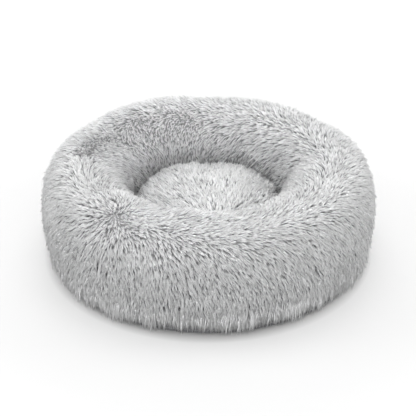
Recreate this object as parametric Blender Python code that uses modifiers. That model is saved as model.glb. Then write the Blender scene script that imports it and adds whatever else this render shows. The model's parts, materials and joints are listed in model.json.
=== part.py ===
"""Round plush pet bed, as the separate pieces it is sewn from.

A stuffed bolster ring in a long-pile cover stands on a round base cloth. A loose round
cushion lies in the nest inside the ring, and a zip in the base gusset opens the cover at the
back. Metres, +Z up, origin at the middle of the underside, front towards -Y.
"""
import math

import bmesh
import bpy
from mathutils import Matrix, Vector

# ---- driving dimensions, in metres ----
BED_DIAMETER = 0.590            # across the bolster, over its combed pile
BED_HEIGHT = 0.190              # floor to the bolster's crown
CROWN_RADIUS = 0.228            # middle of the bed to the crown line
WIDEST_HEIGHT = 0.098           # floor to the line where the bolster is widest
NEST_RADIUS = 0.126             # middle of the bed to the bolster's inner wall
NEST_WALL_HEIGHT = 0.115        # floor to where the inner wall starts to lean back
INNER_FOOT_SETBACK = 0.008      # how far the inner wall draws back at its foot
CROWN_EXPONENT = 2.3            # 2 is an ellipse, higher is boxier
OUTER_WALL_EXPONENT = 2.4       # how late the outer wall tucks in towards the gusset
PILE_THICKNESS = 0.014          # knitted backing with its combed pile
LINER_THICKNESS = 0.002
LAYER_GAP = 0.0004              # between one layer of the bolster and the next
SEAM_GAP = 0.0003               # between pieces that are sewn together
FIRST_SEAM_ANGLE = 40.5         # degrees from +X to the first of four seams, midway along a facet

BASE_THICKNESS = 0.003
BASE_MARGIN = 0.001             # base cloth past the gusset
GUSSET_HEIGHT = 0.027
GUSSET_THICKNESS = 0.0015
GUSSET_RADIUS = 0.268           # middle of the bed to the gusset's outer face

CUSHION_CLEARANCE = 0.006       # cushion to the bolster's inner wall
CUSHION_EDGE_HEIGHT = 0.092     # floor to where the cushion's top starts to round over
CUSHION_TOP_HEIGHT = 0.122      # floor to the middle of the crowned top
CUSHION_PILE_THICKNESS = 0.010
CUSHION_BASE_THICKNESS = 0.002
CUSHION_EXPONENT = 2.8

ZIP_MIDDLE_ANGLE = 90.0         # degrees from +X: the middle of the back
ZIP_TAPE_SPAN = 108.0           # degrees of the gusset that the two tapes replace
ZIP_CHAIN_SPAN = 90.0           # degrees of closed chain
ZIP_CHAIN_HEIGHT = 0.005
ZIP_CHAIN_DEPTH = 0.0025
ZIP_TAPE_SLOT = 0.0024          # between the two tapes, behind the chain
STOP_LENGTH = 0.003
STOP_HEIGHT = 0.006
STOP_DEPTH = 0.003

SLIDER_LENGTH = 0.011
SLIDER_HEIGHT = 0.009
SLIDER_PLATE = 0.0018           # thickness of the slider's face plate
SLIDER_CLEARANCE = 0.0004       # slider to chain and tape
EAR_THICKNESS = 0.0009
EAR_LENGTH = 0.003
PIN_RADIUS = 0.0008
PIN_CLEARANCE = 0.0003
BARREL_WALL = 0.0008
TAB_LENGTH = 0.022
TAB_WIDTH = 0.0055
TAB_THICKNESS = 0.0012
TAB_HOLE_RADIUS = 0.0013

LABEL_ANGLE = 27.0              # degrees from +X: on the gusset beside the zip
LABEL_WIDTH = 0.024
LABEL_HEIGHT = 0.016
LABEL_THICKNESS = 0.0006

# ---- how finely round pieces are divided ----
RING_STEPS = 40                 # facets around the bolster and the cushion
BAND_STEP_ANGLE = 3.0           # degrees for each facet of the gusset and the zip

# ---- worked out from the sizes above ----
BED_RADIUS = BED_DIAMETER / 2
BASE_TOP = BASE_THICKNESS
FOOT_HEIGHT = BASE_TOP + SEAM_GAP
GUSSET_TOP = FOOT_HEIGHT + GUSSET_HEIGHT
OUTER_FOOT_HEIGHT = GUSSET_TOP + SEAM_GAP
OUTER_FOOT_RADIUS = GUSSET_RADIUS + PILE_THICKNESS
CUSHION_RADIUS = NEST_RADIUS - CUSHION_CLEARANCE
ZIP_HEIGHT = FOOT_HEIGHT + GUSSET_HEIGHT / 2
CHAIN_INNER_RADIUS = GUSSET_RADIUS + SEAM_GAP
CHAIN_OUTER_RADIUS = CHAIN_INNER_RADIUS + ZIP_CHAIN_DEPTH
SLIDER_INNER_RADIUS = GUSSET_RADIUS + SLIDER_CLEARANCE
PLATE_INNER_RADIUS = CHAIN_OUTER_RADIUS + SLIDER_CLEARANCE
PLATE_OUTER_RADIUS = PLATE_INNER_RADIUS + SLIDER_PLATE
BARREL_RADIUS = PIN_RADIUS + PIN_CLEARANCE + BARREL_WALL
PIN_AXIS_RADIUS = PLATE_OUTER_RADIUS + BARREL_RADIUS + PIN_CLEARANCE
CHAIN_END_ANGLE = ZIP_MIDDLE_ANGLE + ZIP_CHAIN_SPAN / 2
SLIDER_REST_ANGLE = CHAIN_END_ANGLE - math.degrees(0.55 * SLIDER_LENGTH / GUSSET_RADIUS)

PIECES = "pet_bed"
CUTTERS = "cutters"


# ---- scene helpers ----
def clear_scene():
    for obj in list(bpy.data.objects):
        bpy.data.objects.remove(obj, do_unlink=True)


def collection(name):
    found = bpy.data.collections.get(name)
    if found is None:
        found = bpy.data.collections.new(name)
        bpy.context.scene.collection.children.link(found)
    return found


def material(name, colour, roughness, metallic=0.0):
    made = bpy.data.materials.new(name)
    made.use_nodes = True
    shader = made.node_tree.nodes["Principled BSDF"]
    shader.inputs["Base Color"].default_value = (*colour, 1.0)
    shader.inputs["Roughness"].default_value = roughness
    shader.inputs["Metallic"].default_value = metallic
    return made


def add_object(name, mesh, finish=None, group=PIECES):
    obj = bpy.data.objects.new(name, mesh)
    collection(group).objects.link(obj)
    if finish is not None:
        mesh.materials.append(finish)
    return obj


def profile_mesh(name, points, closed=False):
    """A line of (radius, height) points in the XZ plane, at +X."""
    shape = bmesh.new()
    line = [shape.verts.new((radius, 0.0, height)) for radius, height in points]
    for first, second in zip(line, line[1:]):
        shape.edges.new((first, second))
    if closed:
        shape.edges.new((line[-1], line[0]))
    mesh = bpy.data.meshes.new(name)
    shape.to_mesh(mesh)
    shape.free()
    return mesh


def turned(name, points, finish, closed=False, start=0.0, sweep=360.0, steps=RING_STEPS, wall=0.0):
    """Turn a profile about Z from start degrees. A wall thickens an open surface inwards."""
    obj = add_object(name, profile_mesh(name, points, closed), finish)
    obj.rotation_euler.z = math.radians(start)
    screw = obj.modifiers.new("turn", "SCREW")
    screw.axis = "Z"
    screw.angle = math.radians(sweep)
    screw.steps = steps
    screw.render_steps = steps
    screw.use_merge_vertices = True
    screw.merge_threshold = 0.00001
    if wall > 0.0:
        solidify = obj.modifiers.new("wall", "SOLIDIFY")
        solidify.thickness = wall
        solidify.offset = -1.0
        solidify.use_even_offset = True
    return obj


def box_mesh(name, low, high):
    shape = bmesh.new()
    bmesh.ops.create_cube(shape, size=1.0)
    low, high = Vector(low), Vector(high)
    size = high - low
    place = Matrix.Translation((low + high) / 2) @ Matrix.Diagonal((*size, 1.0))
    bmesh.ops.transform(shape, matrix=place, verts=shape.verts)
    mesh = bpy.data.meshes.new(name)
    shape.to_mesh(mesh)
    shape.free()
    return mesh


def upright_cylinder_mesh(name, centre, radius, height, sides):
    shape = bmesh.new()
    bmesh.ops.create_cone(
        shape, cap_ends=True, segments=sides, radius1=radius, radius2=radius, depth=height
    )
    bmesh.ops.transform(shape, matrix=Matrix.Translation(centre), verts=shape.verts)
    mesh = bpy.data.meshes.new(name)
    shape.to_mesh(mesh)
    shape.free()
    return mesh


def boolean(target, tool_mesh, operation, parent=None):
    tool = add_object(tool_mesh.name, tool_mesh, group=CUTTERS)
    tool.parent = parent
    tool.hide_render = True
    tool.display_type = "WIRE"
    step = target.modifiers.new(operation.lower(), "BOOLEAN")
    step.operation = operation
    step.object = tool
    return tool


def empty(name, location, angle=0.0, parent=None):
    made = bpy.data.objects.new(name, None)
    made.location = location
    made.rotation_euler.z = math.radians(angle)
    made.parent = parent
    collection(PIECES).objects.link(made)
    return made


# ---- outlines ----
def quarter_curve(half_width, half_height, exponent, steps):
    """Superellipse points from (half_width, 0) up to (0, half_height)."""
    points = []
    for step in range(steps + 1):
        angle = math.pi / 2 * step / steps
        across = max(math.cos(angle), 0.0) ** (2 / exponent)
        up = max(math.sin(angle), 0.0) ** (2 / exponent)
        points.append((half_width * across, half_height * up))
    return points


def bolster_outline():
    """The cover's outer face, from the inner foot over the crown to the outer foot."""
    wall_steps = 3
    points = []
    for step in range(wall_steps):
        share = step / wall_steps
        height = FOOT_HEIGHT + share * (NEST_WALL_HEIGHT - FOOT_HEIGHT)
        points.append((NEST_RADIUS + INNER_FOOT_SETBACK * (1 - share) ** 2, height))
    inner = quarter_curve(CROWN_RADIUS - NEST_RADIUS, BED_HEIGHT - NEST_WALL_HEIGHT, CROWN_EXPONENT, 5)
    points += [(CROWN_RADIUS - across, NEST_WALL_HEIGHT + up) for across, up in inner]
    outer = quarter_curve(BED_RADIUS - CROWN_RADIUS, BED_HEIGHT - WIDEST_HEIGHT, CROWN_EXPONENT, 4)
    points += [(CROWN_RADIUS + across, WIDEST_HEIGHT + up) for across, up in reversed(outer[:-1])]
    for step in range(1, wall_steps + 1):
        share = step / wall_steps
        height = WIDEST_HEIGHT + share * (OUTER_FOOT_HEIGHT - WIDEST_HEIGHT)
        tuck = (BED_RADIUS - OUTER_FOOT_RADIUS) * share ** OUTER_WALL_EXPONENT
        points.append((BED_RADIUS - tuck, height))
    return points


def inset(points, distance):
    """Move an open outline inwards, to the right of its direction, by an even distance."""
    moved = []
    for index, (radius, height) in enumerate(points):
        here = Vector((radius, height))
        before = here - Vector(points[index - 1]) if index > 0 else None
        after = Vector(points[index + 1]) - here if index < len(points) - 1 else None
        sides = [side.normalized() for side in (before, after) if side is not None]
        along = sum(sides, Vector((0.0, 0.0))).normalized()
        inwards = Vector((along.y, -along.x))
        evenness = abs(along.dot(sides[0]))
        moved.append(tuple(here + inwards * distance / evenness))
    return moved


def liner_outline():
    """The liner's outer face: inside the cover, then straight down behind the gusset."""
    points = inset(bolster_outline(), PILE_THICKNESS + LAYER_GAP)
    points[0] = (points[0][0], FOOT_HEIGHT)
    behind_gusset = GUSSET_RADIUS - GUSSET_THICKNESS - 4 * LAYER_GAP
    if points[-1][0] > behind_gusset:
        points.append((behind_gusset, OUTER_FOOT_HEIGHT))
    points.append((behind_gusset, FOOT_HEIGHT))
    return points


def filling_outline():
    points = inset(liner_outline(), LINER_THICKNESS + LAYER_GAP)
    points[0] = (points[0][0], FOOT_HEIGHT)
    points[-1] = (points[-1][0], FOOT_HEIGHT)
    return points


def crowned_disc_outline(radius, foot, edge_height, top_height):
    """From the middle of a crowned top, out over the rounded edge and down to the foot."""
    curve = quarter_curve(radius, top_height - edge_height, CUSHION_EXPONENT, 8)
    points = [(across, edge_height + up) for across, up in reversed(curve)]
    points.append((radius, foot))
    return points


def slab_outline(radius, low, high):
    return [(0.0, high), (radius, high), (radius, low), (0.0, low)]


# ---- the bolster ----
def make_cover_panels(fur):
    """Each panel is the quarter of the turned cover that lies between two seams."""
    seam = SEAM_GAP / 2
    for index, side in enumerate(("back", "left", "front", "right")):
        name = f"bolster_panel_{side}"
        panel = turned(name, bolster_outline(), fur, wall=PILE_THICKNESS)
        room = box_mesh(
            f"quarter_{side}", (seam, seam, -BASE_THICKNESS), (BED_DIAMETER, BED_DIAMETER, 2 * BED_HEIGHT)
        )
        quarter = boolean(panel, room, "INTERSECT")
        quarter.rotation_euler.z = math.radians(FIRST_SEAM_ANGLE + 90.0 * index)


def make_bolster_inside(lining, fibre):
    turned("bolster_liner", liner_outline(), lining, wall=LINER_THICKNESS)
    turned("bolster_filling", filling_outline(), fibre, closed=True)


# ---- the base and its gusset ----
def band(name, low, high, start, sweep, outer_radius, thickness, finish):
    """An upright band around part of the bed, its outer face at outer_radius."""
    steps = max(1, round(sweep / BAND_STEP_ANGLE))
    points = [(outer_radius, high), (outer_radius, low)]
    return turned(name, points, finish, start=start, sweep=sweep, steps=steps, wall=thickness)


def make_base(base_fabric, gusset_fabric):
    turned("base_cloth", slab_outline(GUSSET_RADIUS + BASE_MARGIN, 0.0, BASE_TOP), base_fabric)
    gap_angle = math.degrees(SEAM_GAP / GUSSET_RADIUS)
    band(
        "base_gusset",
        FOOT_HEIGHT,
        GUSSET_TOP,
        ZIP_MIDDLE_ANGLE + ZIP_TAPE_SPAN / 2 + gap_angle,
        360.0 - ZIP_TAPE_SPAN - 2 * gap_angle,
        GUSSET_RADIUS,
        GUSSET_THICKNESS,
        gusset_fabric,
    )


def make_care_label(satin):
    inner = GUSSET_RADIUS + SEAM_GAP
    low = (inner, -LABEL_WIDTH / 2, GUSSET_TOP - LABEL_HEIGHT)
    high = (inner + LABEL_THICKNESS, LABEL_WIDTH / 2, GUSSET_TOP)
    label = add_object("care_label", box_mesh("care_label", low, high), satin)
    label.rotation_euler.z = math.radians(LABEL_ANGLE)


# ---- the zip ----
def make_zip_chain(tape_cloth, nylon):
    tape_start = ZIP_MIDDLE_ANGLE - ZIP_TAPE_SPAN / 2
    tapes = {
        "zip_tape_upper": (ZIP_HEIGHT + ZIP_TAPE_SLOT / 2, GUSSET_TOP),
        "zip_tape_lower": (FOOT_HEIGHT, ZIP_HEIGHT - ZIP_TAPE_SLOT / 2),
    }
    for name, (low, high) in tapes.items():
        band(name, low, high, tape_start, ZIP_TAPE_SPAN, GUSSET_RADIUS, GUSSET_THICKNESS, tape_cloth)
    band(
        "zip_coil",
        ZIP_HEIGHT - ZIP_CHAIN_HEIGHT / 2,
        ZIP_HEIGHT + ZIP_CHAIN_HEIGHT / 2,
        ZIP_MIDDLE_ANGLE - ZIP_CHAIN_SPAN / 2,
        ZIP_CHAIN_SPAN,
        CHAIN_OUTER_RADIUS,
        ZIP_CHAIN_DEPTH,
        nylon,
    )


def make_zip_stops(metal):
    past_end = math.degrees((STOP_LENGTH / 2 + SEAM_GAP) / CHAIN_INNER_RADIUS)
    ends = {"zip_stop_closed": 1, "zip_stop_open": -1}
    for name, side in ends.items():
        low = (CHAIN_INNER_RADIUS, -STOP_LENGTH / 2, ZIP_HEIGHT - STOP_HEIGHT / 2)
        high = (CHAIN_INNER_RADIUS + STOP_DEPTH, STOP_LENGTH / 2, ZIP_HEIGHT + STOP_HEIGHT / 2)
        stop = add_object(name, box_mesh(name, low, high), metal)
        angle = ZIP_MIDDLE_ANGLE + side * (ZIP_CHAIN_SPAN / 2 + past_end)
        stop.rotation_euler.z = math.radians(angle)


def make_slider(metal):
    """The slider straddles the chain. Its local +X points outwards from the bed's axis."""
    travel = empty("zip_travel_axis", (0.0, 0.0, 0.0), SLIDER_REST_ANGLE)
    low = (SLIDER_INNER_RADIUS, -SLIDER_LENGTH / 2, ZIP_HEIGHT - SLIDER_HEIGHT / 2)
    high = (PLATE_OUTER_RADIUS, SLIDER_LENGTH / 2, ZIP_HEIGHT + SLIDER_HEIGHT / 2)
    slider = add_object("zip_slider", box_mesh("zip_slider", low, high), metal)
    slider.parent = travel

    chain_room = ZIP_CHAIN_HEIGHT / 2 + SLIDER_CLEARANCE
    past = SLIDER_LENGTH
    channel = box_mesh(
        "slider_channel",
        (SLIDER_INNER_RADIUS - past, -past, ZIP_HEIGHT - chain_room),
        (PLATE_INNER_RADIUS, past, ZIP_HEIGHT + chain_room),
    )
    boolean(slider, channel, "DIFFERENCE", travel)

    ear_middle = SLIDER_HEIGHT / 2 - EAR_THICKNESS / 2
    for name, side in (("ear_upper", 1), ("ear_lower", -1)):
        middle = ZIP_HEIGHT + side * ear_middle
        ear = box_mesh(
            name,
            (PLATE_INNER_RADIUS + SLIDER_PLATE / 2, -EAR_LENGTH / 2, middle - EAR_THICKNESS / 2),
            (PIN_AXIS_RADIUS + BARREL_RADIUS, EAR_LENGTH / 2, middle + EAR_THICKNESS / 2),
        )
        boolean(slider, ear, "UNION", travel)
    pin = upright_cylinder_mesh(
        "slider_pin", (PIN_AXIS_RADIUS, 0.0, ZIP_HEIGHT), PIN_RADIUS, 2 * ear_middle, 12
    )
    boolean(slider, pin, "UNION", travel)
    return travel


def make_pull_tab(metal, travel):
    """The tab turns on the slider's pin, and at rest it lies along the chain."""
    swing = empty("pull_swing_axis", (PIN_AXIS_RADIUS, 0.0, ZIP_HEIGHT), parent=travel)
    barrel_height = SLIDER_HEIGHT - 2 * (EAR_THICKNESS + PIN_CLEARANCE)
    plate = box_mesh(
        "zip_pull_tab",
        (-TAB_THICKNESS / 2, -TAB_LENGTH, -TAB_WIDTH / 2),
        (TAB_THICKNESS / 2, 0.0, TAB_WIDTH / 2),
    )
    tab = add_object("zip_pull_tab", plate, metal)
    tab.parent = swing
    barrel = upright_cylinder_mesh("tab_barrel", (0.0, 0.0, 0.0), BARREL_RADIUS, barrel_height, 16)
    boolean(tab, barrel, "UNION", swing)
    bore_radius = PIN_RADIUS + PIN_CLEARANCE
    bore = upright_cylinder_mesh("tab_bore", (0.0, 0.0, 0.0), bore_radius, 2 * barrel_height, 12)
    boolean(tab, bore, "DIFFERENCE", swing)
    hole_depth = 4 * TAB_THICKNESS
    hole = upright_cylinder_mesh("tab_hole", (0.0, 0.0, 0.0), TAB_HOLE_RADIUS, hole_depth, 12)
    to_end = Matrix.Translation((0.0, 2.2 * TAB_HOLE_RADIUS - TAB_LENGTH, 0.0))
    hole.transform(to_end @ Matrix.Rotation(math.pi / 2, 4, "Y"))
    boolean(tab, hole, "DIFFERENCE", swing)


# ---- the loose cushion ----
def make_cushion(fur, base_fabric, fibre):
    foot = BASE_TOP + SEAM_GAP
    base_top = foot + CUSHION_BASE_THICKNESS
    turned("cushion_base_cover", slab_outline(CUSHION_RADIUS, foot, base_top), base_fabric)

    cover_foot = base_top + SEAM_GAP
    top = crowned_disc_outline(CUSHION_RADIUS, cover_foot, CUSHION_EDGE_HEIGHT, CUSHION_TOP_HEIGHT)
    turned("cushion_top_cover", top, fur, wall=CUSHION_PILE_THICKNESS)

    step_in = CUSHION_PILE_THICKNESS + 2 * LAYER_GAP
    inside = crowned_disc_outline(
        CUSHION_RADIUS - step_in, cover_foot, CUSHION_EDGE_HEIGHT - step_in, CUSHION_TOP_HEIGHT - step_in
    )
    inside.append((0.0, cover_foot))
    turned("cushion_filling", inside, fibre)


def main():
    clear_scene()
    fur = material("plush_fur", (0.62, 0.63, 0.64), 0.9)
    lining = material("liner_cloth", (0.80, 0.80, 0.79), 0.85)
    fibre = material("polyester_fibre", (0.90, 0.90, 0.89), 0.95)
    base_fabric = material("base_fabric", (0.22, 0.22, 0.23), 0.8)
    gusset_fabric = material("gusset_fabric", (0.50, 0.51, 0.52), 0.85)
    tape_cloth = material("zip_tape_cloth", (0.48, 0.49, 0.50), 0.8)
    nylon = material("zip_nylon", (0.55, 0.56, 0.57), 0.45)
    metal = material("zip_metal", (0.70, 0.70, 0.72), 0.35, 1.0)
    satin = material("label_satin", (0.88, 0.88, 0.87), 0.5)

    make_cover_panels(fur)
    make_bolster_inside(lining, fibre)
    make_base(base_fabric, gusset_fabric)
    make_care_label(satin)
    make_zip_chain(tape_cloth, nylon)
    make_zip_stops(metal)
    travel = make_slider(metal)
    make_pull_tab(metal, travel)
    make_cushion(fur, base_fabric, fibre)


main()
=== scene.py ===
"""The looks of a round, long-pile pet bed.

A stuffed ring stands on a base cloth with a zipped gusset, and a loose cushion lies in its nest. The cloth
covers are blown up by a simulation, then combed over with strands of pile. Metres, +Z up, front towards -Y.
"""

import json
import math

import bmesh
import bpy
import numpy as np
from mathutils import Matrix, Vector

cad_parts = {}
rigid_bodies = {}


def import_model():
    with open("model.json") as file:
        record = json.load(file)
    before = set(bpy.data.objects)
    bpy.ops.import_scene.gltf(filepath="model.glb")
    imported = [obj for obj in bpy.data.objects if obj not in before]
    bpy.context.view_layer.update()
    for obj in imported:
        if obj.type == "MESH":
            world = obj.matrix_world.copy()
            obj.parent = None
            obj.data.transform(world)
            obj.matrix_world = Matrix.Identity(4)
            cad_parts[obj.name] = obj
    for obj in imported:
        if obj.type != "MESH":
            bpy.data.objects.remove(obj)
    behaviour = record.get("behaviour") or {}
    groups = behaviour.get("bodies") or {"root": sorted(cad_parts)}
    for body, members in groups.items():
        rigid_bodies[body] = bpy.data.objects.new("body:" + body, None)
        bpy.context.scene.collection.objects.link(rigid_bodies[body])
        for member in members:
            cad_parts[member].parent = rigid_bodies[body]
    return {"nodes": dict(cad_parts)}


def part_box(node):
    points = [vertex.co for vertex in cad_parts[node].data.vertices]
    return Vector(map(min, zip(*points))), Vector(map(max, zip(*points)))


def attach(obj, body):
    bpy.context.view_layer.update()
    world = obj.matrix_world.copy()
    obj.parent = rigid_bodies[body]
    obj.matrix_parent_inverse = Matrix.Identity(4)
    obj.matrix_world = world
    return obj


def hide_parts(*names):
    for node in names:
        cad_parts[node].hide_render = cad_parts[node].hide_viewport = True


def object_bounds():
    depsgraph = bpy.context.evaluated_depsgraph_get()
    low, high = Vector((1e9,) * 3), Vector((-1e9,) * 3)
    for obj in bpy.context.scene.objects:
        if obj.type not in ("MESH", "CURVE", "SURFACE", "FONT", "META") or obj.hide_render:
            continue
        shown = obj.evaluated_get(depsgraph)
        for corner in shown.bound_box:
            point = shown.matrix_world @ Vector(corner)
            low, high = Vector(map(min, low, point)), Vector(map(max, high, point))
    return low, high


bl_info = {
    "name": "Plush Pet Bed",
    "version": (1, 0, 0),
    "blender": (4, 5, 0),
    "location": "3D View > Sidebar > Pet Bed",
    "description": "Builds a round plush pet bed over its frame",
    "category": "Object",
}

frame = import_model()
cad_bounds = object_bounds()

# Sizes that come from the frame, in metres.
BED_RADIUS = cad_bounds[1][0]
BED_HEIGHT = cad_bounds[1][2]
CUSHION_LOW, CUSHION_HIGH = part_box("cushion_top_cover")
BASE_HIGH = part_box("base_cloth")[1]
GUSSET_LOW, GUSSET_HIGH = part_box("base_gusset")
UPPER_TAPE_LOW, UPPER_TAPE_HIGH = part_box("zip_tape_upper")
LOWER_TAPE_LOW, LOWER_TAPE_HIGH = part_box("zip_tape_lower")
COIL_LOW, COIL_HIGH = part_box("zip_coil")
LABEL_LOW, LABEL_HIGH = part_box("care_label")

# The ring's four panels, each from one seam to the next, anticlockwise from above.
PANEL_SIDES = ("back", "left", "front", "right")
FIRST_SEAM_ANGLE = 40.5         # degrees from +X to the first seam of the back panel

# The zip, in degrees about the bed's axis.
ZIP_MIDDLE = 90.0
ZIP_TAPE_SWEEP = 108.0
ZIP_CHAIN_SWEEP = 90.0


# ---- sizes and colours that a user would change ----
def length(name, description, default):
    return bpy.props.FloatProperty(
        name=name, description=description, default=default, min=0.0, precision=4, unit="LENGTH"
    )


def colour(name, description, default):
    return bpy.props.FloatVectorProperty(
        name=name, description=description, default=default, subtype="COLOR", size=3, min=0.0, max=1.0
    )


class BolsterSettings(bpy.types.PropertyGroup):
    backing_depth: length("Backing depth", "From the ring's outline in to the knitted backing", 0.0065)
    crown_radius: length("Crown radius", "From the middle of the bed to the top of the ring", 0.228)
    widest_height: length("Widest height", "Floor to where the ring is widest", 0.098)
    nest_radius: length("Nest radius", "From the middle of the bed to the ring's inner wall", 0.126)
    nest_wall: length("Nest wall", "Floor to where the inner wall starts to lean out", 0.115)
    pucker_depth: length("Pucker depth", "How far the stitched pucker is drawn in", 0.003)
    swell: length("Swell", "The most that the stuffing may push the cover out", 0.007)


class PileSettings(bpy.types.PropertyGroup):
    reach: length("Pile length", "Length of a lock of pile", 0.0175)
    lock_width: length("Lock width", "Width of one strand at its root", 0.0014)
    density: bpy.props.FloatProperty(
        name="Density", description="Locks in a square metre", default=106000.0, min=1000.0
    )
    # The near-black root is painted shade, deep between the strands.
    root_shade_colour: colour("Root", "Colour near the backing", (0.025, 0.0255, 0.0265))
    middle_colour: colour("Middle", "Colour half way along", (0.53, 0.533, 0.537))
    tip_colour: colour("Tip", "Colour at the tips", (0.84, 0.843, 0.847))


class CushionSettings(bpy.types.PropertyGroup):
    backing_depth: length("Backing depth", "From the cushion's outline in to the knitted backing", 0.004)
    edge_drop: length("Edge drop", "How far the rounded edge lies below the middle", 0.030)


class BaseSettings(bpy.types.PropertyGroup):
    dot_spacing: length("Dot spacing", "Between the rubber dots under the base", 0.016)
    dot_radius: length("Dot radius", "Radius of one rubber dot", 0.0019)
    dot_height: length("Dot height", "How far a dot stands out of the base cloth", 0.0008)
    stitch_pitch: length("Stitch pitch", "From one stitch to the next", 0.0042)
    # The cloth's dark charcoal is painted shade: seen just under the hem, it stands for the dark contact
    # shadow there.
    contact_shadow_cloth_colour: colour("Cloth", "Colour of the base cloth and its gusset", (0.13, 0.132, 0.137))


class ZipSettings(bpy.types.PropertyGroup):
    tooth_pitch: length("Tooth pitch", "From one coil turn to the next", 0.0015)
    tooth_thickness: length("Tooth thickness", "Thickness of the coil's nylon thread", 0.00062)
    tape_colour: colour("Tape", "Colour of the zip's tapes", (0.22, 0.223, 0.23))
    coil_colour: colour("Coil", "Colour of the nylon coil", (0.42, 0.425, 0.435))


class PetBedSettings(bpy.types.PropertyGroup):
    bolster: bpy.props.PointerProperty(type=BolsterSettings)
    pile: bpy.props.PointerProperty(type=PileSettings)
    cushion: bpy.props.PointerProperty(type=CushionSettings)
    base: bpy.props.PointerProperty(type=BaseSettings)
    zip: bpy.props.PointerProperty(type=ZipSettings)


def settings():
    return bpy.context.scene.pet_bed


# ---- node trees ----
class Wire:
    """An output socket that can stand in a sum; each sum adds its Math node."""

    def __init__(self, graph, socket):
        self.graph = graph
        self.socket = socket

    def __add__(self, other):
        return self.graph.maths("ADD", self, other)

    def __radd__(self, other):
        return self.graph.maths("ADD", other, self)

    def __sub__(self, other):
        return self.graph.maths("SUBTRACT", self, other)

    def __rsub__(self, other):
        return self.graph.maths("SUBTRACT", other, self)

    def __mul__(self, other):
        return self.graph.maths("MULTIPLY", self, other)

    def __rmul__(self, other):
        return self.graph.maths("MULTIPLY", other, self)

    def __truediv__(self, other):
        return self.graph.maths("DIVIDE", self, other)

    def __rtruediv__(self, other):
        return self.graph.maths("DIVIDE", other, self)

    def __lt__(self, other):
        return self.graph.maths("LESS_THAN", self, other)

class Graph:
    """Builds one node tree. Every node comes from node()."""

    def __init__(self, tree):
        self.tree = tree

    def node(self, kind, setup=None, inputs=None):
        """A node of that kind: its settings first, then the values or wires of its sockets."""
        node = self.tree.nodes.new(kind)
        for name, value in (setup or {}).items():
            if name == "stops":
                self.set_stops(node.color_ramp, value)
            else:
                setattr(node, name, value)
        for name, value in (inputs or {}).items():
            self.feed(node, name, value)
        return node

    def feed(self, node, name, value):
        socket = node.inputs[name]
        if isinstance(value, Wire):
            self.tree.links.new(value.socket, socket)
        else:
            socket.default_value = value

    def set_stops(self, ramp, stops):
        while len(ramp.elements) < len(stops):
            ramp.elements.new(1.0)
        for element, (position, shade) in zip(ramp.elements, stops):
            element.position = position
            element.color = shade

    def wire(self, node, output=0):
        return Wire(self, node.outputs[output])

    def maths(self, operation, first, second=0.0):
        return self.wire(self.node("ShaderNodeMath", {"operation": operation}, {0: first, 1: second}))

    def vector(self, operation, first, second=None, scale=None):
        inputs = {0: first}
        if second is not None:
            inputs[1] = second
        if scale is not None:
            inputs["Scale"] = scale
        output = "Value" if operation in ("LENGTH", "DOT_PRODUCT") else "Vector"
        return self.wire(self.node("ShaderNodeVectorMath", {"operation": operation}, inputs), output)

    def noise(self, where, scale, detail=2.0, roughness=0.5, output=0):
        inputs = {"Vector": where, "Scale": scale, "Detail": detail, "Roughness": roughness}
        return self.wire(self.node("ShaderNodeTexNoise", {}, inputs), output)

    def object_place(self):
        return self.wire(self.node("ShaderNodeTexCoord"), "Object")

    def parts(self, where):
        """A vector's X, Y and Z, each as its own wire."""
        apart = self.node("ShaderNodeSeparateXYZ", inputs={0: where})
        return tuple(self.wire(apart, axis) for axis in "XYZ")

    def random(self, kind, inputs):
        """A random value for each point; each kind has its own sockets, so the limits go by number."""
        outputs = {"FLOAT_VECTOR": 0, "FLOAT": 1, "INT": 2}
        return self.wire(self.node("FunctionNodeRandomValue", {"data_type": kind}, inputs), outputs[kind])

    def tint(self, shader, shade, level):
        """The shader's colour: shade, made darker or lighter by level."""
        self.feed(shader, "Base Color", self.vector("SCALE", tuple(shade), scale=level))

    def emboss(self, shader, height, strength, depth):
        """A relief of depth metres on the shader, where height goes from 0 to 1."""
        inputs = {"Strength": strength, "Distance": depth, "Height": height}
        self.feed(shader, "Normal", self.wire(self.node("ShaderNodeBump", inputs=inputs)))


def opaque(shade):
    return (*shade, 1.0)


def new_finish(name, constants):
    """A material with one Principled shader, and the graph that goes on from it."""
    material = bpy.data.materials.new(name)
    material.use_nodes = True
    material.node_tree.nodes.clear()
    graph = Graph(material.node_tree)
    shader = graph.node("ShaderNodeBsdfPrincipled", inputs=constants)
    graph.node("ShaderNodeOutputMaterial", inputs={"Surface": graph.wire(shader)})
    return material, graph, shader


def finish_named(name, make, *details):
    return bpy.data.materials.get(name) or make(name, *details)


# ---- finishes ----
def pile_finish(name, root, middle, tip):
    """Strand colour runs from root to tip along V, from a near-black root that is painted shade between the
    strands, and from lock to lock along U. The darkest locks are partly their own tone and partly painted
    shade.
    """
    constants = {"Sheen Weight": 0.25, "Sheen Roughness": 0.45, "Specular IOR Level": 0.25}
    material, graph, shader = new_finish(name, constants)
    lock, along, _ = graph.parts(graph.wire(graph.node("ShaderNodeUVMap", {"uv_map": "OFBake"})))
    stops = [(0.12, opaque(root)), (0.50, opaque(middle)), (0.84, opaque(tip))]
    ramp = graph.node("ShaderNodeValToRGB", {"stops": stops}, {0: along})
    # Locks low on U are darker still: partly their own tone, partly painted shade between the locks.
    dark_lock = graph.maths("MAXIMUM", 0.34 - lock, 0.0)
    strength = 0.80 + 0.22 * lock - dark_lock
    graph.feed(shader, "Base Color", graph.vector("SCALE", graph.wire(ramp), scale=strength))
    graph.feed(shader, "Roughness", 0.85 - 0.2 * along)
    return material


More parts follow.
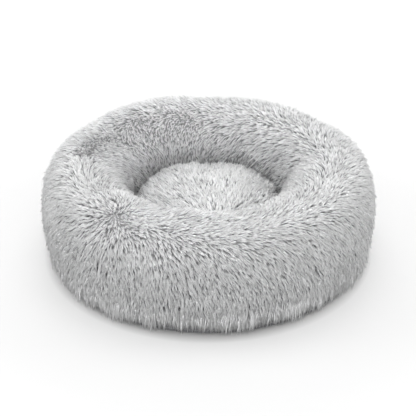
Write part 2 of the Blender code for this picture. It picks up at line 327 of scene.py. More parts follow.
def backing_finish(name, shade):
    """Knitted backing between the roots of the pile. Its dark grey is painted shade among the roots."""
    material, graph, shader = new_finish(name, {"Sheen Weight": 0.2})
    where = graph.object_place()
    loops = graph.noise(where, 900.0, 2.0)
    patches = graph.noise(where, 25.0, 3.0)
    graph.tint(shader, shade, 0.55 + 0.9 * loops * patches)
    graph.feed(shader, "Roughness", 0.8 + 0.15 * patches)
    graph.emboss(shader, loops, 0.6, 0.0005)
    return material


def woven_finish(name, shade, thread, uv_map=None):
    """Plain weave whose threads are thread metres wide, on Object coordinates or the piece's own map."""
    material, graph, shader = new_finish(name, {"Sheen Weight": 0.15, "Specular IOR Level": 0.3})
    if uv_map:
        where = graph.wire(graph.node("ShaderNodeUVMap", {"uv_map": uv_map}))
    else:
        where = graph.object_place()
    x, y, _ = graph.parts(where)
    turn = math.pi / thread
    weave = graph.maths("SINE", x * turn) * graph.maths("SINE", y * turn) * 0.5 + 0.5
    fleck = graph.noise(where, 400.0, 3.0)
    wear = graph.noise(where, 18.0, 4.0, 0.6)
    graph.tint(shader, shade, 0.72 + 0.2 * weave + 0.22 * fleck * wear)
    graph.feed(shader, "Roughness", 0.68 + 0.2 * wear)
    graph.emboss(shader, weave, 0.7, 0.0003)
    return material


def fibre_finish(name):
    """Loose hollow fibre."""
    material, graph, shader = new_finish(name, {"Sheen Weight": 0.4})
    where = graph.object_place()
    tangle = graph.noise(where, 160.0, 6.0, 0.7)
    clouds = graph.noise(where, 22.0, 3.0)
    graph.tint(shader, (0.93, 0.93, 0.92), 0.72 + 0.25 * tangle * clouds)
    graph.feed(shader, "Roughness", 0.75 + 0.2 * tangle)
    graph.emboss(shader, tangle, 0.8, 0.002)
    return material


def metal_finish(name):
    """Cast zinc with a dull plating, rubbed brighter in places."""
    material, graph, shader = new_finish(name, {})
    where = graph.object_place()
    rub = graph.noise(where, 260.0, 4.0, 0.6)
    grain = graph.noise(where, 2600.0, 2.0)
    graph.tint(shader, (0.66, 0.67, 0.69), 0.75 + 0.4 * rub)
    graph.feed(shader, "Metallic", 0.9 + 0.1 * rub)
    graph.feed(shader, "Roughness", 0.28 + 0.22 * rub)
    graph.emboss(shader, grain, 0.25, 0.0001)
    return material


def smooth_finish(name, shade, roughness, grain_scale):
    """Nylon, rubber or thread: an even colour with a fine grain."""
    material, graph, shader = new_finish(name, {"Specular IOR Level": 0.45})
    where = graph.object_place()
    grain = graph.noise(where, grain_scale, 3.0)
    cloud = graph.noise(where, grain_scale / 12.0, 2.0)
    graph.tint(shader, shade, 0.85 + 0.2 * grain * cloud + 0.05 * cloud)
    graph.feed(shader, "Roughness", roughness + 0.15 * cloud)
    graph.emboss(shader, grain, 0.3, 0.0001)
    return material


def floor_finish(name):
    """Pale floor with a glow of its own, which is painted light. The glow fades out under the bed and close
    around it, which paints a soft, close contact shadow.
    """
    shadow_start = 0.268        # from the middle of the bed, metres
    shadow_width = 0.026
    open_floor = 0.45           # where the floor starts to fade into the backdrop
    constants = {"Specular IOR Level": 0.1, "Emission Strength": 0.47}
    material, graph, shader = new_finish(name, constants)
    where = graph.object_place()
    grain = graph.noise(where, 6.0, 3.0)
    graph.tint(shader, (0.35, 0.35, 0.35), 0.995 + 0.01 * grain)
    out = graph.vector("LENGTH", where)
    # The glow is faint at the bed's foot, which paints the contact shadow there, and grows further out.
    past_shadow = graph.maths("MAXIMUM", (out - shadow_start) / shadow_width, 0.0)
    past_shadow = graph.maths("MINIMUM", past_shadow, 1.0)
    away = graph.maths("MAXIMUM", out - open_floor, 0.0)
    glow = graph.maths("MINIMUM", 0.70 * past_shadow + 0.25 * away, 1.0)
    graph.feed(shader, "Emission Color", graph.vector("SCALE", (1.0, 1.0, 1.0), scale=glow))
    graph.feed(shader, "Roughness", 0.9 + 0.05 * grain)
    return material


# ---- finishes that several pieces share ----
def knitted_backing():
    # The backing's dark grey is painted shade among the pile's roots.
    return finish_named("knitted_backing", backing_finish, (0.30, 0.30, 0.305))


def plush_pile():
    pile = settings().pile
    return finish_named("plush_pile", pile_finish, pile.root_shade_colour, pile.middle_colour, pile.tip_colour)


def hollow_fibre():
    return finish_named("hollow_fibre", fibre_finish)


def base_weave():
    return finish_named("base_weave", woven_finish, settings().base.contact_shadow_cloth_colour, 0.0007)


def stitch_thread():
    return finish_named("stitch_thread", smooth_finish, (0.55, 0.555, 0.565), 0.55, 3000.0)


# ---- mesh helpers ----
def put_in_scene(name, mesh, material=None):
    obj = bpy.data.objects.new(name, mesh)
    bpy.context.scene.collection.objects.link(obj)
    if material is not None:
        mesh.materials.clear()
        mesh.materials.append(material)
    return obj


def points_of(mesh):
    flat = np.empty(len(mesh.vertices) * 3)
    mesh.vertices.foreach_get("co", flat)
    return flat.reshape(-1, 3)


def move_points(mesh, points):
    mesh.vertices.foreach_set("co", np.asarray(points, dtype=float).ravel())
    mesh.update()


def ring_mesh(name, points):
    """A closed skin from rings[around][along], joined up both ways, facing outwards."""
    around, along = points.shape[:2]
    index = np.arange(around * along).reshape(around, along)
    ahead = np.roll(index, -1, axis=0)
    faces = np.stack(
        [index, np.roll(index, -1, axis=1), np.roll(ahead, -1, axis=1), ahead], axis=-1
    ).reshape(-1, 4)
    mesh = bpy.data.meshes.new(name)
    mesh.from_pydata(points.reshape(-1, 3).tolist(), [], faces.tolist())
    return outward(mesh)


def dome_mesh(name, points):
    """A closed skin from rings[around][along] whose first and last rings shrink to a point."""
    around, along = points.shape[:2]
    top, bottom = points[:, 0].mean(axis=0), points[:, -1].mean(axis=0)
    inner = points[:, 1:-1].reshape(-1, 3)
    rows = along - 2
    index = np.arange(around * rows).reshape(around, rows)
    ahead = np.roll(index, -1, axis=0)
    faces = np.stack([index[:, :-1], index[:, 1:], ahead[:, 1:], ahead[:, :-1]], axis=-1)
    faces = faces.reshape(-1, 4).tolist()
    first, last = len(inner), len(inner) + 1
    faces += [[first, int(a), int(b)] for a, b in zip(index[:, 0], ahead[:, 0])]
    faces += [[last, int(b), int(a)] for a, b in zip(index[:, -1], ahead[:, -1])]
    mesh = bpy.data.meshes.new(name)
    mesh.from_pydata(inner.tolist() + [top.tolist(), bottom.tolist()], [], faces)
    return outward(mesh)


def outward(mesh):
    """Faces turned to point out of the closed shell, and shaded smooth."""
    shell = bmesh.new()
    shell.from_mesh(mesh)
    bmesh.ops.recalc_face_normals(shell, faces=shell.faces)
    if shell.calc_volume(signed=True) < 0:
        bmesh.ops.reverse_faces(shell, faces=shell.faces)
    shell.to_mesh(mesh)
    shell.free()
    mesh.shade_smooth()
    return mesh


def set_attribute(mesh, name, kind, values):
    attribute = mesh.attributes.new(name, kind, "POINT")
    field = "vector" if kind == "FLOAT_VECTOR" else "value"
    attribute.data.foreach_set(field, np.asarray(values, dtype=float).ravel())


def strip_mesh(name, section, start, sweep, steps):
    """A closed strip: the (radius, height) section swept about the bed's axis, with a map in metres."""
    strip = bmesh.new()
    weave = strip.loops.layers.uv.new("weave")
    rings = []
    for step in range(steps + 1):
        angle = math.radians(start + sweep * step / steps)
        rings.append(
            [strip.verts.new((r * math.cos(angle), r * math.sin(angle), z)) for r, z in section]
        )
    travelled = [0.0]
    for here, there in zip(section, section[1:] + section[:1]):
        travelled.append(travelled[-1] + math.dist(here, there))
    stride = math.radians(sweep) / steps * section[0][0]
    for step in range(steps):
        for side in range(len(section)):
            beside = (side + 1) % len(section)
            face = strip.faces.new(
                (rings[step][side], rings[step + 1][side], rings[step + 1][beside], rings[step][beside])
            )
            corners = ((step, side), (step + 1, side), (step + 1, side + 1), (step, side + 1))
            for loop, (along, across) in zip(face.loops, corners):
                loop[weave].uv = (stride * along, travelled[across])
    if sweep < 360.0:
        strip.faces.new(rings[0])
        strip.faces.new(rings[-1][::-1])
    bmesh.ops.remove_doubles(strip, verts=strip.verts, dist=1e-6)
    mesh = bpy.data.meshes.new(name)
    strip.to_mesh(mesh)
    strip.free()
    return outward(mesh)


def cloth_section(inner, outer, low, high, ripple=0.0):
    """A thin upright section with rounded top and bottom edges."""
    edge = (outer - inner) * 0.45
    middle = (low + high) / 2
    return [
        (inner, low + edge),
        (inner + edge, low),
        (outer - edge, low),
        (outer, low + edge),
        (outer + ripple, middle),
        (outer, high - edge),
        (outer - edge, high),
        (inner + edge, high),
        (inner, high - edge),
        (inner + ripple, middle),
    ]


def disc_mesh(name, radius, low, high):
    """A closed cloth disc with a rolled edge."""
    around = 120
    lip = (high - low) * 0.45
    line = [
        (0.0, high),
        (radius * 0.5, high),
        (radius - 0.006, high),
        (radius - lip, high),
        (radius, high - lip),
        (radius, low + lip),
        (radius - lip, low),
        (radius * 0.5, low),
        (0.0, low),
    ]
    angle = np.arange(around)[:, None] * 2 * math.pi / around
    radii, heights = np.array(line).T[:, None, :]
    points = np.stack(
        np.broadcast_arrays(radii * np.cos(angle), radii * np.sin(angle), heights), axis=-1
    )
    return dome_mesh(name, points)


def new_tree(name, inputs):
    """An empty Geometry Nodes tree with its named inputs, then its graph and the inputs' node."""
    tree = bpy.data.node_groups.new(name, "GeometryNodeTree")
    for label, kind in {"Geometry": "Geometry", **inputs, "Finish": "Material"}.items():
        tree.interface.new_socket(label, in_out="INPUT", socket_type=f"NodeSocket{kind}")
    tree.interface.new_socket("Geometry", in_out="OUTPUT", socket_type="NodeSocketGeometry")
    graph = Graph(tree)
    return tree, graph, graph.node("NodeGroupInput")


def hand_out(graph, given, shape):
    """Gives shape the material that the tree was given, and ends the tree with it."""
    inputs = {"Geometry": graph.wire(shape), "Material": graph.wire(given, "Finish")}
    finished = graph.node("GeometryNodeSetMaterial", inputs=inputs)
    graph.node("NodeGroupOutput", inputs={"Geometry": graph.wire(finished)})


def row_tree():
    """Geometry nodes: one shape repeated evenly on an arc about the bed's axis."""
    tree = bpy.data.node_groups.get("row_on_arc")
    if tree is not None:
        return tree
    tree, graph, given = new_tree("row_on_arc", {
        "Shape": "Object",
        "Count": "Int",
        "Radius": "Float",
        "Height": "Float",
        "Start Angle": "Float",
        "Step Angle": "Float",
    })
    number = graph.wire(graph.node("GeometryNodeInputIndex"))
    angle = graph.wire(given, "Start Angle") + number * graph.wire(given, "Step Angle")
    radius = graph.wire(given, "Radius")
    place = graph.node("ShaderNodeCombineXYZ", inputs={
        "X": radius * graph.maths("COSINE", angle),
        "Y": radius * graph.maths("SINE", angle),
        "Z": graph.wire(given, "Height"),
    })
    row = graph.node("GeometryNodePoints", inputs={
        "Count": graph.wire(given, "Count"),
        "Position": graph.wire(place),
    })
    turn = graph.node("ShaderNodeCombineXYZ", inputs={"Z": angle})
    shape = graph.node("GeometryNodeObjectInfo", inputs={"Object": graph.wire(given, "Shape")})
    stood = graph.node("GeometryNodeInstanceOnPoints", inputs={
        "Points": graph.wire(row),
        "Instance": graph.wire(shape, "Geometry"),
        "Rotation": graph.wire(turn),
    })
    solid = graph.node("GeometryNodeRealizeInstances", inputs={"Geometry": graph.wire(stood)})
    smooth = graph.node("GeometryNodeSetShadeSmooth", inputs={"Geometry": graph.wire(solid)})
    hand_out(graph, given, smooth)
    return tree


def dot_tree():
    """Geometry nodes: low rubber dots on a square grid, inside a circle."""
    tree, graph, given = new_tree("grip_dots", {
        "Circle Radius": "Float",
        "Spacing": "Float",
        "Dot Radius": "Float",
        "Dot Height": "Float",
    })
    circle = graph.wire(given, "Circle Radius")
    across = circle * 2.0
    count = across / graph.wire(given, "Spacing") + 1.0
    grid = graph.node("GeometryNodeMeshGrid", inputs={
        "Size X": across,
        "Size Y": across,
        "Vertices X": count,
        "Vertices Y": count,
    })
    inside = graph.vector("LENGTH", graph.wire(graph.node("GeometryNodeInputPosition"))) < circle
    radius = graph.wire(given, "Dot Radius")
    dot = graph.node("GeometryNodeMeshCone", {"fill_type": "NGON"}, {
        "Vertices": 8,
        "Radius Top": radius,
        "Radius Bottom": radius * 0.7,
        "Depth": graph.wire(given, "Dot Height"),
    })
    stood = graph.node("GeometryNodeInstanceOnPoints", inputs={
        "Points": graph.wire(grid),
        "Selection": inside,
        "Instance": graph.wire(dot),
    })
    solid = graph.node("GeometryNodeRealizeInstances", inputs={"Geometry": graph.wire(stood)})
    hand_out(graph, given, solid)
    return tree


def tube_mesh(name, path, radii, sides=6):
    """A closed tube through path, whose points lie in the local XZ plane or near it."""
    tube = bmesh.new()
    rings = []
    for index, (point, radius) in enumerate(zip(path, radii)):
        before = path[max(index - 1, 0)]
        after = path[min(index + 1, len(path) - 1)]
        way = (Vector(after) - Vector(before)).normalized()
        turn = way.to_track_quat("Z", "Y")
        ring = []
        for side in range(sides):
            angle = 2 * math.pi * side / sides
            spoke = turn @ Vector((math.cos(angle), math.sin(angle), 0)) * radius
            ring.append(tube.verts.new(Vector(point) + spoke))
        rings.append(ring)
    for low, high in zip(rings, rings[1:]):
        for side in range(sides):
            beside = (side + 1) % sides
            tube.faces.new((low[side], low[beside], high[beside], high[side]))
    tube.faces.new(rings[0][::-1])
    tube.faces.new(rings[-1])
    mesh = bpy.data.meshes.new(name)
    tube.to_mesh(mesh)
    tube.free()
    return outward(mesh)


def row_of(name, shape, values):
    """shape repeated on an arc, as one plain mesh."""
    pattern = bpy.data.objects.new(f"{name}_pattern", shape)
    obj = put_in_scene(name, bpy.data.meshes.new(name))
    run_tree(obj, row_tree(), {"Shape": pattern, **values})
    bpy.data.objects.remove(pattern, do_unlink=True)
    return obj


def arc_degrees(distance, radius):
    return math.degrees(distance / radius)


# ---- the ring's skin ----
SKIN_AROUND = 240               # points around the bed
SKIN_ALONG = 72                 # points around the ring's own section
SKIN_ANGLES = np.arange(SKIN_AROUND) * 2 * math.pi / SKIN_AROUND
FOOT_INSET = 0.004              # the cover's foot, in and up from the gusset's top edge
NEST_ROOM = 0.010               # room for the pile inside the nest
ROUND_SHOULDER = 2.3            # superellipse power of the ring's crown
ROUND_FOOT = 2.25               # and of the tuck down to its foot
PUCKER_ANGLE = math.radians(231.5)
PUCKER_RADIUS = 0.245           # middle of the bed to the pucker
PUCKER_ALONG = 0.013            # from the crown line out to the pucker
CROWN_LEAN = 0.030              # how much higher the ring is at the back, as a share
LOWEST_SKIN = 0.0045            # floor to the lowest point of the cover


def superellipse(power, steps=40):
    """Quarter arc from (0, 1) to (1, 0)."""
    turn = np.linspace(0.0, math.pi / 2, steps)
    return np.sin(turn) ** (2 / power), np.cos(turn) ** (2 / power)


def bolster_outline():
    """(along, radius, height) round the closed section; along is zero on the crown and grows outwards."""
    bolster = settings().bolster
    crown_r, top = bolster.crown_radius, BED_HEIGHT - bolster.backing_depth
    widest_r, widest_z = BED_RADIUS - bolster.backing_depth, bolster.widest_height
    foot_r, foot_z = GUSSET_HIGH[0] - FOOT_INSET, GUSSET_HIGH[2] + FOOT_INSET
    nest_r, nest_z = bolster.nest_radius + NEST_ROOM, bolster.nest_wall
    over, up = superellipse(ROUND_SHOULDER)
    outer = np.stack([crown_r + (widest_r - crown_r) * over, widest_z + (top - widest_z) * up], axis=1)
    inner = np.stack([crown_r - (crown_r - nest_r) * over, nest_z + (top - nest_z) * up], axis=1)[::-1]
    over, up = superellipse(ROUND_FOOT, 24)
    tuck = np.stack([foot_r + (widest_r - foot_r) * up, widest_z - (widest_z - foot_z) * over], axis=1)

    # The underside and the foot of the nest's wall, which the base and the cushion hide.
    under = np.array([[foot_r - 0.03, 0.012], [nest_r + 0.04, 0.008], [nest_r + 0.012, 0.012]])
    wall = np.array([[nest_r + 0.004, 0.03], [nest_r, 0.075]])
    loop = np.concatenate([outer, tuck[1:], under, wall, inner])
    step = np.linalg.norm(np.diff(loop, axis=0), axis=1)
    loop = loop[np.concatenate([[True], step > 1e-7])]
    travelled = np.concatenate([[0.0], np.cumsum(np.linalg.norm(np.diff(loop, axis=0), axis=1))])
    whole = travelled[-1]
    even = np.linspace(0.0, whole, SKIN_ALONG, endpoint=False)
    radius = np.interp(even, travelled, loop[:, 0])
    height = np.interp(even, travelled, loop[:, 1])

    # A little past the foot, along stops growing outwards and is counted inwards from the crown.
    foot_at = travelled[len(outer) + len(tuck) - 2]
    along = np.where(even > foot_at + 0.06, even - whole, even)
    return along, radius, height


def bump_at(value, middle, width):
    return np.exp(-(((value - middle) / width) ** 2))


def around_gap(angle, middle):
    """Signed angle to middle, in radians."""
    return (angle - middle + math.pi) % (2 * math.pi) - math.pi


def pucker_distance(angle, along):
    return np.hypot(around_gap(angle, PUCKER_ANGLE) * PUCKER_RADIUS, along - PUCKER_ALONG)


def bolster_relief(angle, along):
    """How far the stuffed cover stands out of, or sinks into, its plain outline."""
    # The stitched pucker, with its small radiating folds and the swell around it.
    gap = around_gap(angle, PUCKER_ANGLE)
    from_pucker = pucker_distance(angle, along)
    spin = np.arctan2(along - PUCKER_ALONG, gap * PUCKER_RADIUS)
    relief = -settings().bolster.pucker_depth * np.exp(-((from_pucker / 0.021) ** 2))
    relief += 0.0007 * np.cos(7 * spin + 0.6) * bump_at(from_pucker, 0.036, 0.018)
    relief += 0.003 * bump_at(from_pucker, 0.055, 0.022)

    # The seam that runs from the pucker along the front of the crown.
    seam_turn = np.clip(gap / math.radians(80.0), 0.0, 1.0)
    seam_line = PUCKER_ALONG * (1 - 0.45 * seam_turn)
    on_seam = (gap > 0) & (gap < math.radians(95.0))
    fade = np.where(on_seam, np.sin(seam_turn * math.pi) ** 0.5, 0)
    relief -= 0.0045 * fade * bump_at(along, seam_line, 0.011)
    relief += 0.003 * fade * bump_at(along, seam_line - 0.024, 0.014)

    # Hollows and bulges of the inner crown: degrees from +X, half width in degrees, depth, along.
    for middle, width, depth, where in (
        (7.0, 9.0, -0.011, -0.070),
        (192.0, 40.0, -0.007, -0.110),
        (150.0, 10.0, -0.008, -0.060),
        (95.0, 8.0, -0.006, -0.070),
        (335.0, 20.0, 0.008, -0.060),
        (190.0, 18.0, 0.004, -0.050),
        (60.0, 14.0, 0.004, -0.040),
        (122.0, 12.0, 0.004, -0.030),
    ):
        gap = around_gap(angle, math.radians(middle))
        relief += depth * bump_at(gap, 0.0, math.radians(width)) * bump_at(along, where, 0.045)

    # The uneven stuffing.
    wave = 0.0016 * np.sin(3 * angle + 1.1 + 9 * along) + 0.0013 * np.sin(7 * angle - 14 * along + 0.4)
    wave += 0.0010 * np.sin(13 * angle + 31 * along + 2.0) * (0.4 + 0.6 * np.sin(angle * 2 + 0.5) ** 2)
    return relief + wave


def bolster_rings(depth):
    """Skin points [around][along], depth below the cover's backing."""
    along, radius, height = bolster_outline()
    slope_r = np.roll(radius, -1) - np.roll(radius, 1)
    slope_z = np.roll(height, -1) - np.roll(height, 1)
    size = np.hypot(slope_r, slope_z)
    out_r, out_z = -slope_z / size, slope_r / size
    grid_angle, grid_along = np.meshgrid(SKIN_ANGLES, along, indexing="ij")
    underside = (height < 0.025) & (np.abs(along) > 0.12)
    relief = np.where(underside[None, :], 0.0, bolster_relief(grid_angle, grid_along)) - depth
    reach = radius[None, :] + out_r[None, :] * relief
    rise = height[None, :] + out_z[None, :] * relief
    rise = np.maximum(rise * (1 + CROWN_LEAN * np.sin(grid_angle)), LOWEST_SKIN)
    rings = np.stack([reach * np.cos(grid_angle), reach * np.sin(grid_angle), rise], axis=-1)
    return rings, along


def inflate(obj, pinned, most, pressure=4.0, frames=20):
    """Cloth under the stuffing's pressure; pinned is each point's grip, most the furthest it moves."""
    start = points_of(obj.data)
    grip = obj.vertex_groups.new(name="stitched")
    for index, weight in enumerate(pinned):
        if weight > 0.01:
            grip.add([index], float(weight), "REPLACE")
    cloth = obj.modifiers.new("stuffing", "CLOTH")
    cloth.settings.use_pressure = True
    cloth.settings.uniform_pressure_force = pressure
    cloth.settings.vertex_group_mass = grip.name
    cloth.settings.quality = 5
    cloth.settings.mass = 0.4
    cloth.settings.effector_weights.gravity = 0.0
    cloth.collision_settings.use_collision = False
    cloth.point_cache.frame_end = frames
    for number in range(1, frames + 1):
        bpy.context.scene.frame_set(number)
    evaluated = obj.evaluated_get(bpy.context.evaluated_depsgraph_get())
    moved = points_of(evaluated.data) - start
    far = np.linalg.norm(moved, axis=1, keepdims=True)
    moved *= np.minimum(1.0, most / np.maximum(far, 1e-9))
    obj.modifiers.remove(cloth)
    obj.vertex_groups.remove(grip)
    bpy.context.scene.frame_set(1)
    move_points(obj.data, start + moved)


# ---- pile ----
FLOOR_CLEARANCE = 0.0025        # the lowest strands end this far above the floor
TUFT_KINDS = 7
STRANDS = 4                     # in one tuft
CLUMPING = 0.62                 # how far neighbouring locks lean together
SCATTER = 0.13                  # how far each strays on its own
LOCK_SCALE = 95.0               # noise scale of the locks that lean together
DRIFT_SCALE = 24.0              # and of the broader waves over the pile
ROOT_DEPTH = 0.0015             # how deep a tuft's root sits in the backing
PILE_BANDS = (
    # name, along from, along to, share of the density, share of the length, lift, share of locks darkened as
    # painted shade
    ("nest", -0.180, -0.112, 0.80, 0.90, 0.46, 1.00),
    ("inner", -0.112, -0.004, 0.90, 0.95, 0.50, 0.35),
    ("shoulder", -0.004, 0.098, 1.00, 1.00, 0.46, 0.00),
    ("flank", 0.098, 0.205, 0.78, 1.08, 0.50, 0.40),
)
HEM_ALONG = 0.158               # from the crown line to where the lowest, longest pile starts
SHORT_HALF_ANGLE = math.radians(80.0)   # the hem's pile is short this far to each side of the zip's middle
SHORT_FADE = math.radians(14.0)


def tuft_mesh(name, random, reach, width):
    """Strands whose tips close up, from the root at the origin along +Z, arching towards +Y."""
    shape = bmesh.new()
    across_layer = shape.verts.layers.float.new("across")
    along_layer = shape.verts.layers.float.new("along")
    tip_lean = random.uniform(-0.10, 0.10)
    for strand in range(STRANDS):
        spread = 2 * math.pi * (strand / STRANDS + random.uniform(-0.08, 0.08))
        foot = Vector((math.cos(spread), 0.6 * math.sin(spread), 0.0)) * random.uniform(0.0009, 0.0018)
        size = reach * random.uniform(0.80, 1.10)
        end_side = tip_lean + random.uniform(-0.035, 0.035)
        rise = random.uniform(0.30, 0.42)
        # Each strand has a tone of its own. The darker strands are partly random tone and partly painted
        # shade in the gaps between strands.
        tone = (strand + random.uniform(0.0, 0.8)) / STRANDS - 0.5
        rings = []

        # Even strands arch, with a waist half way up, and odd ones are straight.
        waist = ((0.0, 0.75), (0.45, 1.0)) if strand % 2 == 0 else ((0.0, 1.0),)
        for share, thick in waist:
            arch = size * (rise * share - rise * share * share)
            bend = Vector((end_side * size * share * share, arch, size * share))
            middle = foot * (1 - 0.9 * share) + bend
            ring = []
            for corner in range(3):
                turn = 2 * math.pi * corner / 3 + spread
                corner_at = Vector((math.cos(turn), math.sin(turn), 0.0)) * width * 0.5 * thick
                vertex = shape.verts.new(middle + corner_at)
                vertex[across_layer] = tone + 0.004 * corner
                vertex[along_layer] = share
                ring.append(vertex)
            rings.append(ring)
        tip = shape.verts.new(foot * 0.3 + Vector((end_side * size, 0.0, size)))
        tip[across_layer] = tone + 0.004
        tip[along_layer] = 1.0
        shape.faces.new(rings[0][::-1])
        for corner in range(3):
            beside = (corner + 1) % 3
            for low, high in zip(rings, rings[1:]):
                shape.faces.new((low[corner], low[beside], high[beside], high[corner]))
            shape.faces.new((rings[-1][corner], rings[-1][beside], tip))
    mesh = bpy.data.meshes.new(name)
    shape.to_mesh(mesh)
    shape.free()
    return mesh


def tuft_kinds():
    """A collection of slightly different tufts, out of sight."""
    pile = settings().pile
    folder = bpy.data.collections.new("tuft_kinds")
    random = np.random.default_rng(11)
    for number in range(TUFT_KINDS):
        mesh = tuft_mesh(f"tuft_{number}", random, pile.reach, pile.lock_width)
        folder.objects.link(bpy.data.objects.new(f"tuft_{number}", mesh))
    return folder


def remove_tuft_kinds(folder):
    for obj in list(folder.objects):
        bpy.data.objects.remove(obj, do_unlink=True)
    bpy.data.collections.remove(folder)


def pile_tree():
    """Geometry nodes: locks of pile stood on a skin, combed along its "comb" attribute."""
    tree = bpy.data.node_groups.get("plush_pile")
    if tree is not None:
        return tree
    tree, graph, given = new_tree("plush_pile", {
        "Tufts": "Collection",
        "Density": "Float",
        "Length": "Float",
        "Lift": "Float",
        "Clumping": "Float",
        "Scatter": "Float",
        "Dark Share": "Float",
        "Seed": "Int",
    })

    def named(name, kind="FLOAT"):
        field = graph.node("GeometryNodeInputNamedAttribute", {"data_type": kind}, {"Name": name})
        return graph.wire(field)

    def swerve(way, push, amount):
        return graph.vector("ADD", way, graph.vector("SCALE", push, scale=amount))

    scatter = graph.node("GeometryNodeDistributePointsOnFaces", {"distribute_method": "RANDOM"}, {
        "Mesh": graph.wire(given, "Geometry"),
        "Density": graph.wire(given, "Density") * named("thick"),
        "Seed": graph.wire(given, "Seed"),
    })
    normal = graph.wire(scatter, "Normal")

    # Each lock follows the comb, stands up by its lift, leans with its neighbours and strays a little.
    where = graph.wire(graph.node("GeometryNodeInputPosition"))
    half = (0.5, 0.5, 0.5)
    locks = graph.vector("SUBTRACT", graph.noise(where, LOCK_SCALE, 1.0, 0.5, "Color"), half)
    drift = graph.vector("SUBTRACT", graph.noise(where, DRIFT_SCALE, 1.0, 0.5, "Color"), half)
    stray = graph.random("FLOAT_VECTOR", {0: (-1.0, -1.0, -1.0), 1: (1.0, 1.0, 1.0), "Seed": 3})
    clump = graph.wire(given, "Clumping") * named("tousle")
    way = swerve(named("comb", "FLOAT_VECTOR"), normal, graph.wire(given, "Lift") * named("lift"))
    way = swerve(way, locks, clump)
    way = swerve(way, drift, clump * 0.8)
    way = swerve(way, stray, graph.wire(given, "Scatter"))
    axes = {"primary_axis": "Z", "secondary_axis": "Y"}
    turn = graph.node("FunctionNodeAxesToRotation", axes, {"Primary Axis": way, "Secondary Axis": normal})

    sunk = graph.node("GeometryNodeSetPosition", inputs={
        "Geometry": graph.wire(scatter),
        "Offset": graph.vector("SCALE", normal, scale=-ROOT_DEPTH),
    })
    kinds = graph.node("GeometryNodeCollectionInfo", inputs={
        "Collection": graph.wire(given, "Tufts"),
        "Separate Children": True,
        "Reset Children": True,
    })
    size = graph.random("FLOAT", {2: 0.72, 3: 1.18, "Seed": 7})
    stood = graph.node("GeometryNodeInstanceOnPoints", inputs={
        "Points": graph.wire(sunk),
        "Instance": graph.wire(kinds),
        "Pick Instance": True,
        "Instance Index": graph.random("INT", {4: 0, 5: TUFT_KINDS - 1, "Seed": 5}),
        "Rotation": graph.wire(turn),
        "Scale": size * named("reach") * graph.wire(given, "Length"),
    })

    # A lock's tint is its place from dark to pale. The painted shade share pushes that many more down to
    # zero, which paints the shade between the locks, most deeply in the nest.
    darkest = 0.03 - graph.wire(given, "Dark Share")
    tint = graph.maths("MAXIMUM", graph.random("FLOAT", {2: darkest, 3: 0.97, "Seed": 9}), 0.0)
    tinted = graph.node(
        "GeometryNodeStoreNamedAttribute",
        {"data_type": "FLOAT", "domain": "INSTANCE"},
        {"Geometry": graph.wire(stood), "Name": "tint", "Value": tint},
    )
    solid = graph.node("GeometryNodeRealizeInstances", inputs={"Geometry": graph.wire(tinted)})

    # The map that the finish reads: U from the lock's tint and the strand, V from root to tip.
    place = graph.node("ShaderNodeCombineXYZ", inputs={
        "X": 0.01 + 0.42 * named("tint") + 0.55 * (named("across") + 0.5),
        "Y": 0.01 + 0.98 * named("along"),
    })
    result = graph.node(
        "GeometryNodeStoreNamedAttribute",
        {"data_type": "FLOAT2", "domain": "CORNER"},
        {"Geometry": graph.wire(solid), "Name": "OFBake", "Value": graph.wire(place)},
    )
    for name in ("tint", "across", "along", "comb", "reach", "lift", "thick", "tousle"):
        inputs = {"Geometry": graph.wire(result), "Name": name}
        result = graph.node("GeometryNodeRemoveAttribute", inputs=inputs)
    result = graph.node("GeometryNodeSetShadeSmooth", inputs={"Geometry": graph.wire(result)})
    hand_out(graph, given, result)
    return tree


def run_tree(obj, tree, values):
    """Puts the tree on obj, gives its named inputs their values, and leaves the result as a plain mesh."""
    modifier = obj.modifiers.new(tree.name, "NODES")
    modifier.node_group = tree
    sockets = {
        item.name: item.identifier
        for item in tree.interface.items_tree
        if item.item_type == "SOCKET" and item.in_out == "INPUT"
    }
    for name, value in values.items():
        modifier[sockets[name]] = value
    obj.update_tag()
    depsgraph = bpy.context.evaluated_depsgraph_get()
    depsgraph.update()
    mesh = bpy.data.meshes.new_from_object(
        obj.evaluated_get(depsgraph), preserve_all_data_layers=True, depsgraph=depsgraph
    )
    mesh.name = obj.name
    obj.modifiers.remove(modifier)
    obj.data = mesh
    return obj


def stand_pile(name, skin, keep, fields, values, body):
    """Pile on the faces of skin that keep picks; fields are the attributes that steer it."""
    faces = [tuple(face.vertices) for face in skin.polygons if keep(face)]
    used = sorted({index for face in faces for index in face})
    slot_of = {old: new for new, old in enumerate(used)}
    ground = bpy.data.meshes.new(name)
    points = points_of(skin)[used]
    ground.from_pydata(points.tolist(), [], [[slot_of[i] for i in face] for face in faces])
    for field, value in fields.items():
        set_attribute(ground, field, "FLOAT_VECTOR" if field == "comb" else "FLOAT", value[used])
    obj = put_in_scene(name, ground)
    run_tree(obj, pile_tree(), values)
    grown = points_of(obj.data)
    grown[:, 2] = np.maximum(grown[:, 2], FLOOR_CLEARANCE)
    move_points(obj.data, grown)
    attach(obj, body)
    return obj


def unit(vectors):
    return vectors / np.maximum(np.linalg.norm(vectors, axis=-1, keepdims=True), 1e-9)


